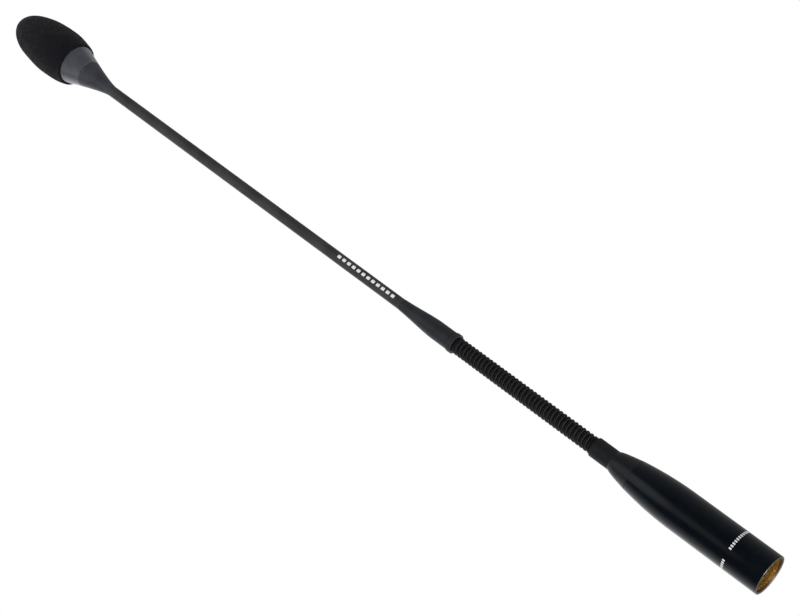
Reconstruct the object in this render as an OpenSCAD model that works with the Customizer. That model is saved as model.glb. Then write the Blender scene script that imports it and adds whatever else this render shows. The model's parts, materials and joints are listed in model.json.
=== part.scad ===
// Gooseneck podium microphone with a three-pin plug barrel, a wound flexible neck,
// a thin stem and a lit head under a foam windshield.
// +Z runs from the plug's open rim (z = 0, on the axis) to the windshield's tip.

/* [Plug barrel] */
// Outside diameter of the barrel
barrel_d = 19; // [18.6:0.1:20]
// Length of the straight part of the barrel
barrel_straight = 46; // [44:0.5:48]
// Height of the seam between the barrel and the nose cone
seam_z = 71; // [69:0.5:73]
// Diameter at that seam
seam_d = 15; // [14.4:0.1:15.4]
// Inside diameter of the plug's mouth
socket_d = 16; // [15.8:0.05:16.1]
// Height of the insulator's face, where the contact pins come out
insert_face_z = 15; // [14:0.5:16]
// Diameter of a contact pin
pin_d = 2.4; // [2.3:0.05:2.5]
// Radius of the circle that the contact pins stand on
pin_circle_r = 4; // [3.8:0.1:4.1]
// Depth of the pins' tips behind the rim
pin_recess = 2.8; // [2.6:0.1:3.2]

/* [Neck] */
// Height of the kink where the nose cone ends and the collar starts
collar_z = 82.6; // [81.5:0.1:83.5]
// Diameter of the collar under the wound neck
collar_d = 9.35; // [9.1:0.05:9.6]
// Height where the wound neck starts
coil_start = 93.3; // [92.5:0.1:94]
// Height where the wound neck ends
coil_end = 175.3; // [174.5:0.1:176]
// Outside diameter of the wound neck
coil_d = 8.1; // [8:0.05:8.3]
// Turns between the centres of the first and the last ridge
coil_turns = 36.75; // [36.75]

/* [Stem] */
// Outside diameter of the stem tube
stem_d = 5.5; // [5.4:0.05:5.6]
// Diameter of the lip at the foot of the cuff
cuff_lip_d = 9.7; // [9.4:0.05:10]
// Diameter of the cuff's straight part
cuff_d = 8.96; // [8.8:0.02:9.1]
// Height where the cuff starts to narrow
cuff_taper_z = 188.5; // [187.5:0.5:190]
// Height of the cuff's thin end
cuff_end_z = 209.5; // [208:0.5:212]

/* [Head] */
// Height where the stem opens into the head cone
cone_z = 419.5; // [418.5:0.5:421]
// Height of the front edge of the light ring
ring_front_z = 448.4; // [447.8:0.1:448.8]
// Diameter of that edge
ring_front_d = 21.2; // [20.6:0.1:22]
// Length of the light ring along the axis
ring_length = 10.6; // [9.8:0.1:10.8]
// Outside diameter of the capsule housing
housing_d = 12.4; // [12.2:0.1:12.6]
// Largest diameter of the windshield
foam_d = 27; // [26.5:0.1:27.5]
// Height of the windshield's largest section
foam_wide_z = 460.5; // [459.5:0.5:461.5]
// Height of the windshield's tip
foam_tip_z = 495; // [494:0.5:497]

/* [Hidden] */

$fn = 96;
slip = 0.05;          // clearance between parts that are slid or screwed together
touch = 0.02;         // clearance between parts that are pressed or seated together
curve_steps = 14;     // straight steps that a curved outline is drawn with
cut = 1;              // how far a cutting solid runs past the surface it opens

// Plug barrel
barrel_r = barrel_d / 2;
barrel_bore_r = 8.6;
barrel_rim_chamfer = 0.4;
seam_r = seam_d / 2;
thread_r = 6.4;
thread_start = 63;
bore_taper_start = 57;
socket_r = socket_d / 2;
sleeve_r = barrel_bore_r - slip;
sleeve_relief_r = 8.2;
sleeve_start = 0.5;
sleeve_end = 25;
mouth_land_end = 2.6;
insert_r = 7.9;
insert_end = 24;
key_width = 2;
key_start = 9;
pin_r = pin_d / 2;
pin_shank_r = pin_r + 0.3;
pin_tail_z = 28;
solder_cup_r = 0.8;
solder_cup_depth = 2;
lock_screw_r = 1;
lock_screw_z = 19.5;
lock_screw_depth = 5;                  // how far the lock screw reaches into the insert
lock_screw_head_y = barrel_r - 0.5;
lock_screw_key_r = 0.4;
lock_screw_key_depth = 1.2;
contact_z = 24.2;
contact_t = 0.4;
contact_rim_w = 1.4;
contact_tongue_w = 3.6;

// Amplifier board
board_w = 11;
board_t = 1.2;
board_start = 31;
board_end = 59;
board_y = board_t / 2;
capacitor_r = 2;
capacitor_h = 4.2;
capacitor_x = -2.6;
capacitor_places = [37, 42.5, 48];
transistor_size = [2.9, 1.1, 1.5];
transistor_x = 1.2;
transistor_places = [38, 43];
resistor_size = [2, 0.5, 1.2];
resistor_x = 1.6;
resistor_places = [48, 50, 52, 54, 56];
insulating_r = 8.2;
insulating_wall = 0.4;
insulating_start = 27;
insulating_end = 56;
lead_r = 0.45;
lead_start = pin_tail_z - 1.5;
side_lead_end = board_start - slip;
rear_lead_bend_z = pin_tail_z + 0.6;
rear_lead_lean = 20;                   // degrees towards the board
rear_lead_length = 7.4;

// Neck
collar_r = collar_d / 2;
plug_r = 3.15;
plug_tail_r = 2.6;
plug_tongue_r = 1.9;
plug_tongue_reach = 3.5;
cable_passage_r = 1.35;
nut_start = 66;
nut_end = 70;
nut_flats = 8;
nose_web_t = 2;                        // web of the nose cone that the nut pulls against
nose_web_end = nut_end + nose_web_t;
nose_spigot_bore_r = 5;
nose_spigot_start = thread_start + 0.2;
cable_r = 1.2;
clamp_r = nose_spigot_bore_r - 0.4;
clamp_start = 63.5;
clamp_end = 65.7;

// Wound neck
ridge_half_w = 0.75;
coil_r = coil_d / 2;
ridge_depth = 1;
ridge_shoulder_w = 0.6;
ridge_shoulder_drop = 0.35;
helix_start = coil_start + ridge_half_w + 0.1;
helix_end = coil_end - ridge_half_w - 0.1;
pitch = (helix_end - helix_start) / coil_turns;
hinge_count = 12;
hinge_step = 3.25;                     // turns from one bending point to the next
hinge_first = 0.5;                     // turns from the first ridge to the first bending point
section_gap = 0.012;                   // turns left open on each side of a bending point
coil_facets = 14;                      // straight steps in one turn
spring_wire_r = 0.45;
spring_r = 2.45;
spring_facets = 12;

// Stem
stem_r = stem_d / 2;
stem_wall = 0.5;
stem_start = 182.1;
stem_end = 426;
cuff_lip_end = 177.8;
cuff_lip_r = cuff_lip_d / 2;
cuff_r = cuff_d / 2;
cuff_thin_r = stem_r + 0.12;

// Head
cone_power = 1.25;                     // how late the trumpet opens; 1 is a straight cone
cone_wall = 1.1;
cone_bore_z = stem_end + 2;
cone_bore_h = 4;
ring_front_r = ring_front_d / 2;
ring_back_z = ring_front_z - ring_length;
ring_bore_r = 6.3;
housing_r = housing_d / 2;
housing_wall = 0.7;
housing_start = 443.6;
housing_end = 474.5;
housing_floor = 1;
port_count = 6;
port_w = 2.4;
port_start = 453;
port_end = 461;
adapter_r = 3.4;
adapter_neck_r = stem_r - 0.15;
adapter_neck_h = 3;
adapter_start = stem_end + slip;
adapter_end = 443.5;
adapter_flange_r = 5;
adapter_flange_t = 1.5;
light_board_z = 440.6;
light_board_t = 0.8;
led_count = 6;
led_size = [0.9, 1.2, 0.6];
led_circle_r = 5.15;
grille_z = 473;
grille_t = 0.4;
grille_hole_r = 0.5;
grille_hole_step = 1.55;
grille_rings = 2;
bezel_h = 1.4;
bezel_bore_r = 4.8;
can_r = 4.9;
can_wall = 0.3;
can_start = 463.6;
can_end = 472;
can_hole_r = 1.2;
capsule_inner_r = can_r - can_wall - slip;
diaphragm_z = 471.1;
diaphragm_t = 0.05;
diaphragm_gap = 0.06;
diaphragm_ring_w = 0.7;
diaphragm_ring_end = diaphragm_z + 0.55;
backplate_t = 0.6;
backplate_top = diaphragm_z - diaphragm_gap;
backplate_hole_r = 0.4;
backplate_holes = 6;
backplate_hole_circle_r = capsule_inner_r * 0.55;
insulator_wall = 0.6;
capsule_board_z = can_start + 0.1;
capsule_board_t = 0.6;
capsule_floor_z = capsule_board_z + capsule_board_t + touch;
capsule_transistor_size = [2, 1.4, 1];
gasket_places = [464.4, 468.8];
gasket_h = 1.2;

// Windshield
foam_start = ring_front_z + 0.2;
foam_foot_r = 11.7;
foam_bore_r = housing_r + 0.1;
foam_bore_end = 477.5;
foam_r = foam_d / 2;
foam_steps = 24;
foam_front_power = 2.34;
foam_front_root = 2.24;

// Outline radii along the axis
// A straight start that bends over like the bow of a ship
function ogive(z) =
    let (s = (z - barrel_straight) / (seam_z - barrel_straight))
    barrel_r - (barrel_r - seam_r) * pow(s, 1.9);
// A nearly straight slope that turns in sharply at the collar
function nose_outline(z) =
    let (s = (z - seam_z) / (collar_z - seam_z))
    seam_r - (seam_r - collar_r) * (0.83 * s + 0.17 * pow(s, 6));
// The stem opening like a trumpet
function trumpet(z) =
    let (s = (z - cone_z) / (ring_front_z - cone_z))
    stem_r + slip + (ring_front_r - stem_r - slip) * pow(max(s, 0), cone_power);
// The cuff narrowing in a soft S
function cuff_outline(z) =
    let (s = (z - cuff_taper_z) / (cuff_end_z - cuff_taper_z))
    cuff_r + (cuff_thin_r - cuff_r) * (0.55 * s + 0.45 * s * s * (3 - 2 * s));
function ramp(a, b, steps) = [for (i = [0:steps]) a + (b - a) * i / steps];

// A ridge's cross-section: [radius, height above the middle of the ridge]
function ridge_profile() = [
    [coil_r - ridge_depth, -ridge_half_w],
    [coil_r - ridge_shoulder_drop, -ridge_shoulder_w],
    [coil_r, 0],
    [coil_r - ridge_shoulder_drop, ridge_shoulder_w],
    [coil_r - ridge_depth, ridge_half_w]
];
function wire_profile(r, wire_r) = [for (a = [-90, 0, 90, 180]) [r + wire_r * cos(a), wire_r * sin(a)]];
function hinge_turn(k) = hinge_first + hinge_step * (k - 1);

// Shapes that repeat
module tube(r_out, r_in, z0, z1) {
    translate([0, 0, z0])
        difference() {
            cylinder(r = r_out, h = z1 - z0);
            translate([0, 0, -cut])
                cylinder(r = r_in, h = z1 - z0 + 2 * cut);
        }
}
module rod(r, z0, z1) {
    translate([0, 0, z0])
        cylinder(r = r, h = z1 - z0);
}
// A solid swept along the helix from one turn count to another
module helix(profile, turn_a, turn_b, facets) {
    n = ceil((turn_b - turn_a) * facets);
    m = len(profile);
    points = [
        for (i = [0:n])
        let (turn = turn_a + (turn_b - turn_a) * i / n, a = 360 * (turn - hinge_first))
        for (p = profile)
        [p[0] * cos(a), p[0] * sin(a), helix_start + pitch * turn + p[1]]
    ];
    sides = [
        for (i = [0:n - 1], j = [0:m - 1])
        let (k = (j + 1) % m)
        each [
            [i * m + j, (i + 1) * m + j, (i + 1) * m + k],
            [i * m + j, (i + 1) * m + k, i * m + k]
        ]
    ];
    start_cap = [[for (j = [0:m - 1]) j]];
    end_cap = [[for (j = [m - 1:-1:0]) n * m + j]];
    polyhedron(points = points, faces = concat(sides, start_cap, end_cap), convexity = 20);
}
module pin_place(i) {
    angle = [180, 0, 270][i];
    translate([pin_circle_r * cos(angle), pin_circle_r * sin(angle), 0])
        children();
}

// Plug barrel: the glossy outer shell, threaded inside its thin end
module connector_barrel() {
    outline = concat(
        [[barrel_r - barrel_rim_chamfer, 0], [barrel_r, barrel_rim_chamfer]],
        [for (z = ramp(barrel_straight, seam_z, curve_steps)) [ogive(z), z]],
        [[thread_r, seam_z], [thread_r, thread_start], [barrel_bore_r, bore_taper_start],
         [barrel_bore_r, 0]]
    );
    color("#0d1016")
        difference() {
            rotate_extrude()
                polygon(outline);
            lock_screw_hole(lock_screw_r);
        }
}
module lock_screw_hole(r) {
    translate([0, 0, lock_screw_z])
        rotate([-90, 0, 0])
            cylinder(r = r, h = barrel_r + cut, $fn = 32);
}
// Gold-plated liner that touches the mating plug's shell
module contact_sleeve() {
    color("#c9a227")
        difference() {
            rotate_extrude()
                polygon([
                    [socket_r, sleeve_start], [sleeve_r, sleeve_start], [sleeve_r, sleeve_end],
                    [sleeve_relief_r, sleeve_end], [sleeve_relief_r, mouth_land_end],
                    [socket_r, mouth_land_end]
                ]);
            lock_screw_hole(lock_screw_r);
        }
}
module pin_insert() {
    color("#1b1b1d")
        difference() {
            union() {
                rod(insert_r, insert_face_z, insert_end);
                translate([-key_width / 2, insert_r - 1.3, key_start])
                    cube([key_width, 1, insert_face_z - key_start + cut]);
            }
            for (i = [0:2])
                pin_place(i)
                    rod(pin_shank_r + touch, insert_face_z - cut, insert_end + cut);
            translate([0, insert_r - lock_screw_depth, lock_screw_z])
                rotate([-90, 0, 0])
                    cylinder(r = lock_screw_r, h = lock_screw_depth + cut, $fn = 32);
        }
}
// Contact pin with a domed tip in front, a thicker shank in the insert and a solder cup behind
module contact_pin(i) {
    color("#d4af37")
        pin_place(i)
            difference() {
                union() {
                    rod(pin_r, pin_recess + pin_r, pin_tail_z);
                    rod(pin_shank_r, insert_face_z, insert_end);
                    translate([0, 0, pin_recess + pin_r])
                        sphere(r = pin_r, $fn = 48);
                }
                rod(solder_cup_r, pin_tail_z - solder_cup_depth, pin_tail_z + cut);
            }
}
module pin_1() {
    contact_pin(0);
}
module pin_2() {
    contact_pin(1);
}
module pin_3() {
    contact_pin(2);
}
module insert_lock_screw() {
    length = lock_screw_head_y - insert_r + lock_screw_depth;
    color("#8d8f94")
        translate([0, insert_r - lock_screw_depth + slip, lock_screw_z])
            rotate([-90, 0, 0])
                difference() {
                    cylinder(r = lock_screw_r - slip, h = length, $fn = 32);
                    translate([0, 0, length - lock_screw_key_depth])
                        cylinder(r = lock_screw_key_r, h = lock_screw_key_depth + cut, $fn = 6);
                }
}
// Spring washer that ties pin 1 to the shell
module shell_contact() {
    tongue_start = -insert_r + 0.5;
    tongue_end = -pin_circle_r + pin_r + 0.8;
    color("#b98b3a")
        translate([0, 0, contact_z])
            linear_extrude(height = contact_t)
                difference() {
                    union() {
                        difference() {
                            circle(r = insert_r);
                            circle(r = insert_r - contact_rim_w);
                        }
                        translate([tongue_start, -contact_tongue_w / 2])
                            square([tongue_end - tongue_start, contact_tongue_w]);
                    }
                    translate([-pin_circle_r, 0])
                        circle(r = pin_r + slip);
                }
}
// Leads from the three pins to the amplifier board
module pin_leads() {
    color("#c23a2c") {
        for (side = [-1, 1])
            translate([side * pin_circle_r, 0, 0])
                rod(lead_r, lead_start, side_lead_end);
        translate([0, -pin_circle_r, 0])
            rod(lead_r, lead_start, rear_lead_bend_z);
        translate([0, -pin_circle_r, rear_lead_bend_z])
            rotate([-rear_lead_lean, 0, 0])
                cylinder(r = lead_r, h = rear_lead_length, $fn = 32);
    }
}
module preamp_board() {
    color("#1f5a34")
        translate([-board_w / 2, -board_y, board_start])
            cube([board_w, board_t, board_end - board_start]);
}
module board_capacitors() {
    color("#2b2d55")
        for (z = capacitor_places)
            translate([capacitor_x, board_y + slip, z])
                rotate([-90, 0, 0])
                    cylinder(r = capacitor_r, h = capacitor_h, $fn = 48);
}
module board_transistors() {
    color("#202022")
        for (z = transistor_places)
            translate([transistor_x, board_y + slip, z])
                cube(transistor_size);
}
module board_resistors() {
    color("#3a3a3a")
        for (z = resistor_places)
            translate([resistor_x, board_y + slip, z])
                cube(resistor_size);
}
module insulating_sleeve() {
    color("#2a2a2c")
        tube(insulating_r, insulating_r - insulating_wall, insulating_start, insulating_end);
}
// Nose cone: narrows from the barrel to the collar and screws into the barrel
module nose_cone() {
    nose_spigot_r = thread_r - slip;
    outline = concat(
        [for (z = ramp(seam_z + slip, collar_z, curve_steps)) [nose_outline(z), z]],
        [[plug_r + slip, collar_z], [plug_r + slip, nose_web_end],
         [plug_tail_r + slip, nose_web_end], [plug_tail_r + slip, nut_end + slip],
         [nose_spigot_bore_r, nut_end + slip], [nose_spigot_bore_r, nose_spigot_start],
         [nose_spigot_r, nose_spigot_start], [nose_spigot_r, seam_z + slip]]
    );
    color("#0d1016")
        rotate_extrude()
            polygon(outline);
}
module neck_collar() {
    color("#202022")
        tube(collar_r, plug_r + slip, collar_z + slip, coil_start - touch);
}
module neck_nut() {
    color("#8d8f94")
        translate([0, 0, nut_start])
            difference() {
                cylinder(d = nut_flats / cos(30), h = nut_end - nut_start, $fn = 6);
                translate([0, 0, -cut])
                    cylinder(r = plug_tail_r + slip, h = nut_end - nut_start + 2 * cut);
            }
}
module cable_clamp() {
    color("#303033")
        tube(clamp_r, cable_r + slip, clamp_start, clamp_end);
}
module base_cable() {
    color("#303033")
        rod(cable_r, board_end + slip, coil_start);
}
// Hollow stud that holds the lower end of the wound neck
module lower_coil_plug() {
    shoulder_z = nose_web_end + 2 * slip;
    color("#8d8f94")
        difference() {
            union() {
                rod(plug_tail_r, nut_start - 4 * slip, shoulder_z);
                rod(plug_r, shoulder_z, coil_start - touch);
                rod(plug_tongue_r, shoulder_z + cut, coil_start + plug_tongue_reach);
            }
            rod(cable_passage_r, nut_start - cut, coil_start + plug_tongue_reach + cut);
        }
}

// Wound neck: the ridged outer wire, cut at its bending points
module outer_coil(k) {
    turn_a = k == 1 ? 0 : hinge_turn(k - 1) + section_gap;
    turn_b = k == hinge_count + 1 ? coil_turns : hinge_turn(k) - section_gap;
    color("#141416")
        helix(ridge_profile(), turn_a, turn_b, coil_facets);
}
module inner_spring() {
    color("#6d6f73")
        helix(wire_profile(spring_r, spring_wire_r), 0, coil_turns, spring_facets);
}
module gooseneck_cable() {
    color("#303033")
        rod(cable_r, coil_start + slip, coil_end - slip);
}

// Stem
module upper_coil_plug() {
    plug_top = stem_start - slip;
    color("#8d8f94")
        difference() {
            union() {
                rod(plug_r, coil_end + touch, plug_top);
                rod(plug_tongue_r, coil_end - plug_tongue_reach, plug_top);
            }
            rod(cable_passage_r, coil_end - plug_tongue_reach - cut, plug_top + cut);
        }
}
module stem_cuff() {
    lip_chamfer = 0.2;
    outline = concat(
        [[plug_r + slip, coil_end + touch], [cuff_lip_r - lip_chamfer, coil_end + touch],
         [cuff_lip_r, coil_end + touch + lip_chamfer], [cuff_lip_r, cuff_lip_end - lip_chamfer],
         [cuff_r, cuff_lip_end]],
        [for (z = ramp(cuff_taper_z, cuff_end_z, curve_steps)) [cuff_outline(z), z]],
        [[stem_r + touch, cuff_end_z], [stem_r + touch, stem_start], [plug_r + slip, stem_start]]
    );
    color("#1c1c1f")
        rotate_extrude()
            polygon(outline);
}
module stem_tube() {
    color("#26262a")
        tube(stem_r, stem_r - stem_wall, stem_start, stem_end);
}
module stem_cable() {
    color("#303033")
        rod(cable_r, coil_end, can_start - 2 * slip);
}

// Head
// Spacer between the stem's end and the capsule housing
module head_adapter() {
    neck_end = adapter_start + adapter_neck_h;
    color("#8d8f94")
        difference() {
            union() {
                rod(adapter_neck_r, adapter_start, neck_end);
                rod(adapter_r, neck_end, adapter_end - adapter_flange_t);
                rod(adapter_flange_r, adapter_end - adapter_flange_t, adapter_end);
            }
            rod(cable_passage_r, adapter_start - cut, adapter_end + cut);
        }
}
module head_cone() {
    bore_at_ring = trumpet(ring_back_z) - cone_wall;
    outline = concat(
        [for (z = ramp(cone_z, ring_back_z - slip, curve_steps)) [trumpet(z) + slip, z]],
        [[bore_at_ring, ring_back_z - slip], [adapter_r + slip, cone_bore_z + cone_bore_h],
         [adapter_r + slip, cone_bore_z], [stem_r + touch, cone_bore_z - 0.4],
         [stem_r + touch, cone_z]]
    );
    color("#26262a")
        rotate_extrude()
            polygon(outline);
}
module light_ring() {
    outline = concat(
        [for (z = ramp(ring_back_z, ring_front_z, curve_steps)) [trumpet(z), z]],
        [[ring_bore_r, ring_front_z], [ring_bore_r, ring_back_z]]
    );
    color("#74777e", 0.8)
        rotate_extrude()
            polygon(outline);
}
module ring_light_board() {
    color("#1f5a34")
        tube(ring_bore_r - slip, adapter_r + slip, light_board_z, light_board_z + light_board_t);
}
module ring_leds() {
    color("#e8e4d0")
        for (i = [0:led_count - 1])
            rotate([0, 0, 360 * (i + 0.5) / led_count])
                translate([led_circle_r, -led_size[1] / 2, light_board_z + light_board_t + touch])
                    cube(led_size);
}
module capsule_housing() {
    inner_r = housing_r - housing_wall;
    color("#1a1a1c")
        difference() {
            rod(housing_r, housing_start, housing_end);
            rod(inner_r, housing_start + housing_floor, housing_end + cut);
            rod(cable_passage_r, housing_start - cut, housing_start + housing_floor + cut);
            for (i = [0:port_count - 1])
                rotate([0, 0, 360 * i / port_count])
                    translate([inner_r - cut, -port_w / 2, port_start])
                        cube([housing_wall + 2 * cut, port_w, port_end - port_start]);
        }
}
module capsule_grille() {
    disc_r = housing_r - housing_wall - slip;
    color("#4a4b4f")
        translate([0, 0, grille_z])
            difference() {
                cylinder(r = disc_r, h = grille_t);
                translate([0, 0, -cut]) {
                    cylinder(r = grille_hole_r, h = grille_t + 2 * cut, $fn = 24);
                    for (ring = [1:grille_rings], i = [0:6 * ring - 1])
                        rotate([0, 0, 60 * i / ring])
                            translate([ring * grille_hole_step, 0, 0])
                                cylinder(r = grille_hole_r, h = grille_t + 2 * cut, $fn = 24);
                }
            }
}
module grille_ring() {
    color("#1a1a1c")
        tube(housing_r, bezel_bore_r, housing_end + touch, housing_end + bezel_h);
}
module capsule_can() {
    color("#a9abb0")
        difference() {
            rod(can_r, can_start, can_end);
            rod(can_r - can_wall, can_start - cut, can_end - can_wall);
            rod(can_hole_r, can_end - can_wall - cut, can_end + cut);
        }
}
module diaphragm() {
    color("#d8b24a")
        rod(capsule_inner_r, diaphragm_z, diaphragm_z + diaphragm_t);
}
module diaphragm_ring() {
    color("#b98b3a")
        tube(capsule_inner_r, capsule_inner_r - diaphragm_ring_w,
            diaphragm_z + diaphragm_t + touch, diaphragm_ring_end);
}
module backplate() {
    color("#b98b3a")
        translate([0, 0, backplate_top - backplate_t])
            difference() {
                cylinder(r = capsule_inner_r, h = backplate_t);
                for (i = [0:backplate_holes - 1])
                    rotate([0, 0, 360 * i / backplate_holes])
                        translate([backplate_hole_circle_r, 0, -cut])
                            cylinder(r = backplate_hole_r, h = backplate_t + 2 * cut, $fn = 24);
            }
}
module capsule_board() {
    color("#1f5a34")
        rod(capsule_inner_r, capsule_board_z, capsule_board_z + capsule_board_t);
}
module backplate_insulator() {
    color("#e2dfd6")
        tube(capsule_inner_r, capsule_inner_r - insulator_wall, capsule_floor_z,
            backplate_top - backplate_t - touch);
}
module capsule_transistor() {
    color("#202022")
        translate([-capsule_transistor_size[0] / 2, -capsule_transistor_size[1] / 2, capsule_floor_z])
            cube(capsule_transistor_size);
}
module capsule_gaskets() {
    color("#19191a")
        for (z = gasket_places)
            tube(housing_r - housing_wall - touch, can_r + touch, z, z + gasket_h);
}

// Windshield: a closed egg of foam with a blind bore that grips the capsule housing
module foam_windshield() {
    foot = [
        for (i = [0:foam_steps / 2])
        let (s = 2 * i / foam_steps, lift = 1 - (1 - s) * (1 - s))
        [foam_foot_r + (foam_r - foam_foot_r) * lift, foam_start + (foam_wide_z - foam_start) * s]
    ];
    nose = [
        for (i = [1:foam_steps])
        let (s = sin(90 * i / foam_steps))
        [foam_r * pow(max(1 - pow(s, foam_front_power), 0), 1 / foam_front_root),
         foam_wide_z + (foam_tip_z - foam_wide_z) * s]
    ];
    bore = [[0, foam_bore_end], [foam_bore_r, foam_bore_end], [foam_bore_r, foam_start]];
    color("#1c1c20")
        rotate_extrude()
            polygon(concat(foot, nose, bore));
}

connector_barrel();
contact_sleeve();
pin_insert();
pin_1();
pin_2();
pin_3();
insert_lock_screw();
shell_contact();
pin_leads();
preamp_board();
board_capacitors();
board_transistors();
board_resistors();
insulating_sleeve();
nose_cone();
neck_collar();
neck_nut();
cable_clamp();
base_cable();
lower_coil_plug();
outer_coil(1);  // outer_coil_1
outer_coil(2);  // outer_coil_2
outer_coil(3);  // outer_coil_3
outer_coil(4);  // outer_coil_4
outer_coil(5);  // outer_coil_5
outer_coil(6);  // outer_coil_6
outer_coil(7);  // outer_coil_7
outer_coil(8);  // outer_coil_8
outer_coil(9);  // outer_coil_9
outer_coil(10);  // outer_coil_10
outer_coil(11);  // outer_coil_11
outer_coil(12);  // outer_coil_12
outer_coil(13);  // outer_coil_13
inner_spring();
gooseneck_cable();
upper_coil_plug();
stem_cuff();
stem_tube();
stem_cable();
head_adapter();
head_cone();
light_ring();
ring_light_board();
ring_leds();
capsule_housing();
capsule_grille();
grille_ring();
capsule_can();
diaphragm();
diaphragm_ring();
backplate();
backplate_insulator();
capsule_board();
capsule_transistor();
capsule_gaskets();
foam_windshield();
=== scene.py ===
"""Gooseneck podium microphone: the looks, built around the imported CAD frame.

Lengths are in millimetres unless a comment says otherwise, in the CAD frame: +Z runs along the microphone,
from the plug's open rim to the windshield's tip. Meshes are scaled to metres when they are made.
"""

import json
import math

import bmesh
import bpy
import numpy as np
from mathutils import Matrix, Vector, noise

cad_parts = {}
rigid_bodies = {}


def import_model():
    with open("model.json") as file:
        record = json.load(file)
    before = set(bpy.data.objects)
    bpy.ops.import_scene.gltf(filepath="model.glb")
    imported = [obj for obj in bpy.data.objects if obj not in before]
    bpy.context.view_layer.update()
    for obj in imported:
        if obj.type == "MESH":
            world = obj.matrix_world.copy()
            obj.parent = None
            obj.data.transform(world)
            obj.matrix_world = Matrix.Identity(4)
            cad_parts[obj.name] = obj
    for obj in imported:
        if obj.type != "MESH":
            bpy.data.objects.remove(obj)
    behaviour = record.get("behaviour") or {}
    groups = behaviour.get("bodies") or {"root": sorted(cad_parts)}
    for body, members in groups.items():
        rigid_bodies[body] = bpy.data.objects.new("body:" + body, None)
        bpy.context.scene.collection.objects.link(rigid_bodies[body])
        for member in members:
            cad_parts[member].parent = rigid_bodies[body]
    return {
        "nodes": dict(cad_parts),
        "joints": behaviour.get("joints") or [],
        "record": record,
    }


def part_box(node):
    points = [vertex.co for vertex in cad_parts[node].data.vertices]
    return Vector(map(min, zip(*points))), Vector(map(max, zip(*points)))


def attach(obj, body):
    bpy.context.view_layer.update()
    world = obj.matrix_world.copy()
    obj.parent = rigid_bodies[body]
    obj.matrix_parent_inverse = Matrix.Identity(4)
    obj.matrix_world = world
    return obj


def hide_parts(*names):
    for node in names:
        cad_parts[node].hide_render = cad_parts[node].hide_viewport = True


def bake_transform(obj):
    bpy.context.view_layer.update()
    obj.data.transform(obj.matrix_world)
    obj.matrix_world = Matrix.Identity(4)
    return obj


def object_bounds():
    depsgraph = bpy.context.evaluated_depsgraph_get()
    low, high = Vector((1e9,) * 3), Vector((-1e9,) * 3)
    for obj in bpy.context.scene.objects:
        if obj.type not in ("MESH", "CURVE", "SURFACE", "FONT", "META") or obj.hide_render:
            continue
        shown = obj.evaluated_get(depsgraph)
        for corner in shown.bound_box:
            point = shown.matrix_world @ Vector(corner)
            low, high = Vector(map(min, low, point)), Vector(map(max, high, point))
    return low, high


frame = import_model()
CAD_LOW, CAD_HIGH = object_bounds()

MM = 0.001
FULL_TURN = 2 * math.pi
LATHE_STEPS = 192
PLUG_STEPS = 256
FILLET_STEPS = 6
SHARP_ANGLE = math.radians(38)


# ---- places read from the frame

def span_mm(node):
    """(outer radius, lowest z, highest z) of a turned CAD node."""
    low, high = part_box(node)
    return max(high.x, high.y) / MM, low.z / MM, high.z / MM


BARREL_R, _, SEAM_Z = span_mm("connector_barrel")
SEAM_R, SPIGOT_START, NOSE_END_Z = span_mm("nose_cone")
COLLAR_R, _, COIL_START = span_mm("neck_collar")
CUFF_LIP_R, COIL_END, CUFF_END_Z = span_mm("stem_cuff")
STEM_R, STEM_START, STEM_END = span_mm("stem_tube")
CONE_Z = span_mm("head_cone")[1]
RING_FRONT_R, RING_BACK_Z, RING_FRONT_Z = span_mm("light_ring")
FOAM_R, FOAM_START, FOAM_TIP_Z = span_mm("foam_windshield")
HOUSING_R, HOUSING_START, HOUSING_END = span_mm("capsule_housing")
BEZEL_END = span_mm("grille_ring")[2]
SLEEVE_R, SLEEVE_START, SLEEVE_END = span_mm("contact_sleeve")
INSERT_R, INSERT_START, INSERT_END = span_mm("pin_insert")
_, PIN_TIP_Z, PIN_END_Z = span_mm("pin_1")
COIL_R = span_mm("outer_coil_5")[0]
NECK_JOINTS = [j for j in frame["joints"] if j["type"] == "hinge"]
HINGE_Z = [j["pos_m"][2] / MM for j in NECK_JOINTS]

# Sizes and heights that the nodes' boxes don't give.
BARREL_STRAIGHT = 46.0  # the barrel is straight up to here
BARREL_BORE_R = 8.6
BARREL_BORE_END = 57.0
RIM_BEVEL = 0.35  # inside the barrel's open end
MOUTH_R = 8.0  # the gold liner's bore at its open end
LINER_BEVEL = 0.55  # inside the gold liner's open end
LOCK_SCREW_R = 1.0
LOCK_SCREW_Z = 19.5
INSERT_FACE_Z = 15.0
PIN_R = 1.2
PIN_PLACES = [(-4, 0), (4, 0), (0, -4)]
SPIGOT_R = 6.35  # the end of the nose cone that goes into the barrel
STUD_BORE_R = 3.2  # for the hollow studs at the neck's ends
COIL_BORE_R = 3.0
CABLE_R = 1.2
CUFF_R = 4.48
CUFF_TAPER_Z = 188.5  # the cuff starts to taper here
RING_BORE_R = 6.3
BEZEL_BORE_R = 4.8
FOAM_FOOT_R = 11.7
FOAM_WIDE_Z = 460.5  # the windshield is widest here
FOAM_BORE_R = HOUSING_R + 0.1
FOAM_BORE_END = 477.5

FACING = -math.pi / 2  # the side of the microphone that faces the main camera
STEM_PRINT_Z = 214.0
STEM_PRINT_STEP = 3.2
BARREL_PRINT_Z = 16.6


# ---- outlines

def ogive(z):
    """Barrel radius where it bends over towards the seam."""
    s = (z - BARREL_STRAIGHT) / (SEAM_Z - BARREL_STRAIGHT)
    return BARREL_R - (BARREL_R - SEAM_R) * max(s, 0) ** 1.9


def nose_outline(z):
    """Nose cone radius: nearly straight, then turning in sharply at the collar."""
    s = (z - SEAM_Z) / (NOSE_END_Z - SEAM_Z)
    return SEAM_R - (SEAM_R - COLLAR_R) * (0.83 * s + 0.17 * s ** 6)


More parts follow.
